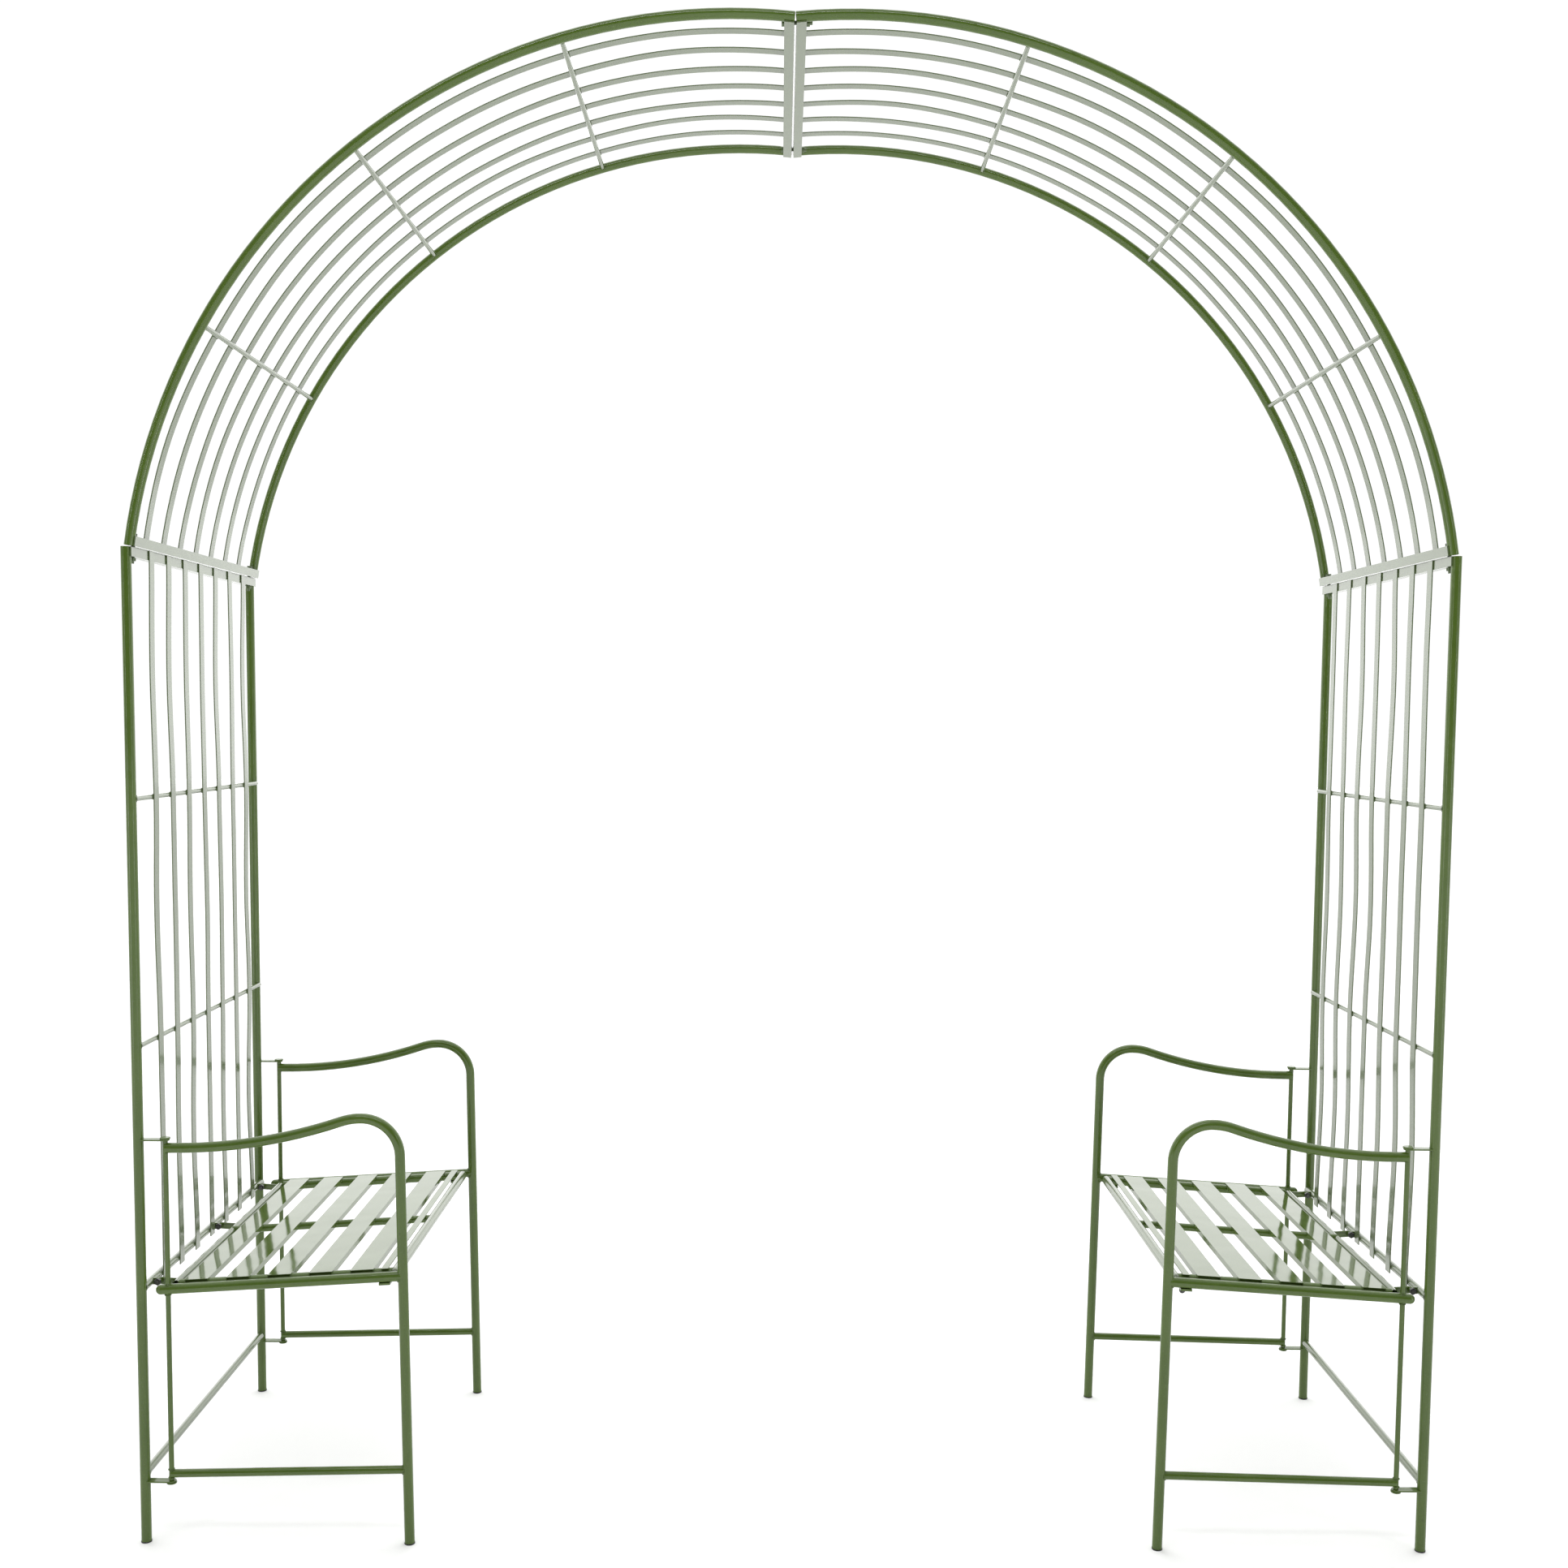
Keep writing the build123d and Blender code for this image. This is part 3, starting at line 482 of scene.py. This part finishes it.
def makeSideBars(side, sign):
    s = sideBars
    random.seed(s["seed"] + (sign > 0))
    paths = []
    for row in range(s["count"]):
        depth = (row - (s["count"] - 1) / 2) * s["pitch"]
        lean = [random.uniform(s["inward"], 1.0) for bay in range(3)]
        steps = round((s["top"] - s["foot"]) / s["step"])
        points = []
        for i in range(steps + 1):
            height = s["foot"] + (s["top"] - s["foot"]) * i / steps
            loose, bay = slackAt(height, s["welds"])
            points.append({"at": (sign * s["line"], depth, height), "facing": (sign, 0, 0),
                           "slack": loose * loose * lean[bay], "loose": loose})
        paths.append({"points": points})
    return rollBars(side + "_side_bars", paths, s, 3.0 + sign, side + "_trellis_slats")


def makeArcBars(side, sign):
    s, stock = arcBars, sideBars
    random.seed(s["seed"] + (sign > 0))
    paths = []
    for row in range(stock["count"]):
        depth = (row - (stock["count"] - 1) / 2) * stock["pitch"]
        lean = [random.uniform(s["inward"], 1.0) for bay in range(4)]
        steps = round(math.radians(s["shoulder"] - s["crown"]) * s["radius"] / stock["step"])
        points = []
        for i in range(steps + 1):
            angle = s["crown"] + (s["shoulder"] - s["crown"]) * i / steps
            loose, bay = slackAt(angle, s["welds"])
            out = (sign * math.sin(math.radians(angle)), 0, math.cos(math.radians(angle)))
            points.append({"at": (sign * s["centre"] + s["radius"] * out[0], depth,
                                  s["height"] + s["radius"] * out[2]),
                           "facing": out, "slack": loose * loose * lean[bay], "loose": loose})
        paths.append({"points": points})
    return rollBars(side + "_arc_bars", paths, s, 9.0 + sign, side + "_arc_slats")


for side, sign in (("left", -1), ("right", 1)):
    makeSideBars(side, sign)
    makeArcBars(side, sign)
print("bars made")

# weld seams: bead sizes, then where the tubes and bars meet
seams = {
    "step": 0.0023, "bead": 0.0013, "smallest": 0.65, "largest": 1.15, "seed": 7,
    "proud": 0.0003, "flank": 0.0014, "post": 0.300, "postLine": 1.015, "tubeRadius": 0.008,
    "rodRadius": 0.004, "railRadius": 0.0065, "legFoot": 0.5957, "legLean": 0.9,
    "upright": 0.973, "uprightRadius": 0.004, "uprightRise": 1.04,
    "bottomTubeLine": 1.0115, "stretcherHeight": 0.112, "rodLine": 1.009,
    "arcRadius": 0.9305, "arcRodInset": 0.001, "arcRodSeam": 0.0002, "faceGap": 0.0006,
    "crossingLine": 1.0064, "crossingRise": 0.0034, "crossingHalf": 0.007,
    "arcCrossing": 0.0017, "arcCrossingTurn": 0.21}


def ring(centre, axis, radius, parts=20):
    # a closed seam round a tube's end
    axis = Vector(axis).normalized()
    across = axis.orthogonal().normalized()
    third = axis.cross(across)
    points = [{"at": Vector(centre) + radius * (math.cos(2 * math.pi * i / parts) * across
                                                + math.sin(2 * math.pi * i / parts) * third)}
              for i in range(parts)]
    return {"points": points, "closed": True}


def saddle(centre, axis, across, radius, wall, offset=0.0, parts=24):
    # a closed seam where a level tube meets the side of an upright tube of radius wall
    points = []
    for i in range(parts):
        turned = 2 * math.pi * i / parts
        side = offset + radius * math.cos(turned)
        side = max(seams["flank"] - wall, min(wall - seams["flank"], side))
        depth = math.sqrt(max(0.0, wall * wall - side * side))
        points.append({"at": Vector(centre) + side * Vector(across) + depth * Vector(axis)
                       + Vector((0, 0, radius * math.sin(turned)))})
    return {"points": points, "closed": True}


def postSeam(sign, depthSign, line, height, radius):
    # a seam where a cross tube, stretcher or rod meets the inner side of a post
    return saddle((sign * seams["postLine"], depthSign * seams["post"], height), (0, -depthSign, 0), (1, 0, 0),
                  radius + seams["proud"], seams["tubeRadius"], sign * (line - seams["postLine"]))


def onArc(sign, angle, radius):
    # x and z of a place on an arc, by its angle from upright
    turned = math.radians(angle)
    return sign * (arcBars["centre"] + radius * math.sin(turned)), arcBars["height"] + radius * math.cos(turned)


def crossingSeam(x, depth, z):
    half = seams["crossingHalf"]
    return {"points": [{"at": (x, depth - half, z)}, {"at": (x, depth + half, z)}]}


def findArchSeams():
    found = []
    rodHeights, rodAngles = sideBars["welds"][1:3], arcBars["welds"][1:4]
    for sign in (-1, 1):
        for depthSign in (-1, 1):
            found.append(postSeam(sign, depthSign, seams["bottomTubeLine"], sideBars["welds"][0],
                                  seams["railRadius"]))
            found.append(postSeam(sign, depthSign, seams["postLine"], seams["stretcherHeight"],
                                  seams["railRadius"]))
            for height in rodHeights:
                found.append(postSeam(sign, depthSign, seams["rodLine"], height, seams["rodRadius"]))
            face = depthSign * (seams["post"] - seams["tubeRadius"] - seams["faceGap"])
            for angle in rodAngles:
                x, z = onArc(sign, angle, seams["arcRadius"] - seams["arcRodInset"])
                found.append(ring((x, face, z), (0, 1, 0), seams["rodRadius"] + seams["arcRodSeam"], 12))
        for row in range(sideBars["count"]):
            depth = (row - (sideBars["count"] - 1) / 2) * sideBars["pitch"]
            for height in rodHeights:
                for rise in (-seams["crossingRise"], seams["crossingRise"]):
                    found.append(crossingSeam(sign * seams["crossingLine"], depth, height + rise))
            for angle in rodAngles:
                for rise in (-seams["arcCrossingTurn"], seams["arcCrossingTurn"]):
                    x, z = onArc(sign, angle + rise, seams["arcRadius"] + seams["arcCrossing"])
                    found.append(crossingSeam(x, depth, z))
    return found


def railSeams(node, sign):
    # a seam where a sloping rail meets its leg, and small ones where its upright goes through it
    low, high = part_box(node)
    r = (high[1] - low[1]) / 2
    depth = (low[1] + high[1]) / 2
    atLeg, atUpright = high[2] - r, low[2] + r
    leg = seams["legFoot"] + atLeg * math.tan(math.radians(seams["legLean"]))
    found = [saddle((sign * leg, depth, atLeg), (sign, 0, 0), (0, 1, 0), r + seams["proud"], seams["tubeRadius"])]
    for rise in (-r, r):
        found.append(ring((sign * seams["upright"], depth, atUpright + rise * seams["uprightRise"]), (0, 0, 1),
                          seams["uprightRadius"] + seams["proud"], 12))
    return found


def makeSeams(name, paths, body):
    piece = meshFromPaths(name, paths)
    growPiece(piece, weldBeads, {
        "Bead Step": seams["step"], "Bead Radius": seams["bead"], "Smallest": seams["smallest"],
        "Largest": seams["largest"], "Seed": seams["seed"], "Finish": looks["tubePaint"]})
    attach(piece, body)
    print(name, len(piece.data.polygons), "faces")


makeSeams("arch_seams", findArchSeams(), "arch")
for side in ("left", "right"):
    for end in ("front", "rear"):
        arm = side + "_" + end
        paths = []
        for rail in ("_lower_rail", "_seat_rail"):
            paths += railSeams(arm + rail, -1 if side == "left" else 1)
        makeSeams(arm + "_arm_seams", paths, arm + "_arm")
print("weld seams made")

floorTone = {"colour": (0.92, 0.92, 0.92), "roughness": 0.95, "size": 60}
floorLook = bpy.data.materials.new("paleFloor")
floorLook.use_nodes = True
floorShader = floorLook.node_tree.nodes["Principled BSDF"]
floorShader.inputs["Base Color"].default_value = (*floorTone["colour"], 1)
floorShader.inputs["Roughness"].default_value = floorTone["roughness"]
floorShader.inputs["Specular IOR Level"].default_value = 0.0
bpy.ops.mesh.primitive_plane_add(size=floorTone["size"])
floor = bpy.context.object
floor.name = "floor"
floor.data.materials.append(floorLook)

# a white studio: brightest behind the arch, dimmer on the side that is looked from
studio = {"front": 0.16, "back": 2.45, "darkEnd": -0.6, "brightEnd": 0.5, "sky": 0.75, "backdrop": 1.05}
world = bpy.data.worlds.new("studio")
scene.world = world
world.use_nodes = True
room = world.node_tree
room.nodes.clear()
roomEnd = room.nodes.new("ShaderNodeOutputWorld")
direction = room.nodes.new("ShaderNodeTexCoord")
split = room.nodes.new("ShaderNodeSeparateXYZ")
join(room, direction.outputs["Generated"], split.inputs[0])
depthwise = room.nodes.new("ShaderNodeMapRange")
depthwise.interpolation_type = "SMOOTHSTEP"
depthwise.inputs["From Min"].default_value = studio["darkEnd"]
depthwise.inputs["From Max"].default_value = studio["brightEnd"]
depthwise.inputs["To Min"].default_value = studio["front"]
depthwise.inputs["To Max"].default_value = studio["back"]
join(room, split.outputs["Y"], depthwise.inputs["Value"])
above = room.nodes.new("ShaderNodeMapRange")
above.inputs["From Min"].default_value = 0.5
above.inputs["From Max"].default_value = 1.0
above.inputs["To Max"].default_value = studio["sky"]
join(room, split.outputs["Z"], above.inputs["Value"])
glow = room.nodes.new("ShaderNodeBackground")
join(room, addMath(room, "ADD", depthwise.outputs["Result"], above.outputs["Result"]), glow.inputs["Strength"])
plain = room.nodes.new("ShaderNodeBackground")
plain.inputs["Color"].default_value = (1, 1, 1, 1)
plain.inputs["Strength"].default_value = studio["backdrop"]
seen = room.nodes.new("ShaderNodeLightPath")
choose = room.nodes.new("ShaderNodeMixShader")
join(room, seen.outputs["Is Camera Ray"], choose.inputs[0])
join(room, glow.outputs[0], choose.inputs[1])
join(room, plain.outputs[0], choose.inputs[2])
join(room, choose.outputs[0], roomEnd.inputs["Surface"])

lamps = {
    "overhead": {"place": (-0.4, -2.4, 4.3), "aim": (0, 0, 1.0), "size": (3.2, 0.24), "power": 30},
    "leftStrip": {"place": (-3.7, -2.9, 1.6), "aim": (0, 0, 1.1), "size": (0.18, 3.2), "power": 22},
    "rightStrip": {"place": (3.7, -2.9, 1.6), "aim": (0, 0, 1.1), "size": (0.18, 3.2), "power": 22},
}
for name, lamp in lamps.items():
    data = bpy.data.lights.new(name, "AREA")
    data.shape = "RECTANGLE"
    data.size, data.size_y = lamp["size"]
    data.energy = lamp["power"]
    light = bpy.data.objects.new(name, data)
    scene.collection.objects.link(light)
    light.location = lamp["place"]
    aim = Vector(lamp["aim"]) - Vector(lamp["place"])
    light.rotation_euler = aim.to_track_quat("-Z", "Y").to_euler()
scene.view_settings.view_transform = "Standard"
print("floor and light set")
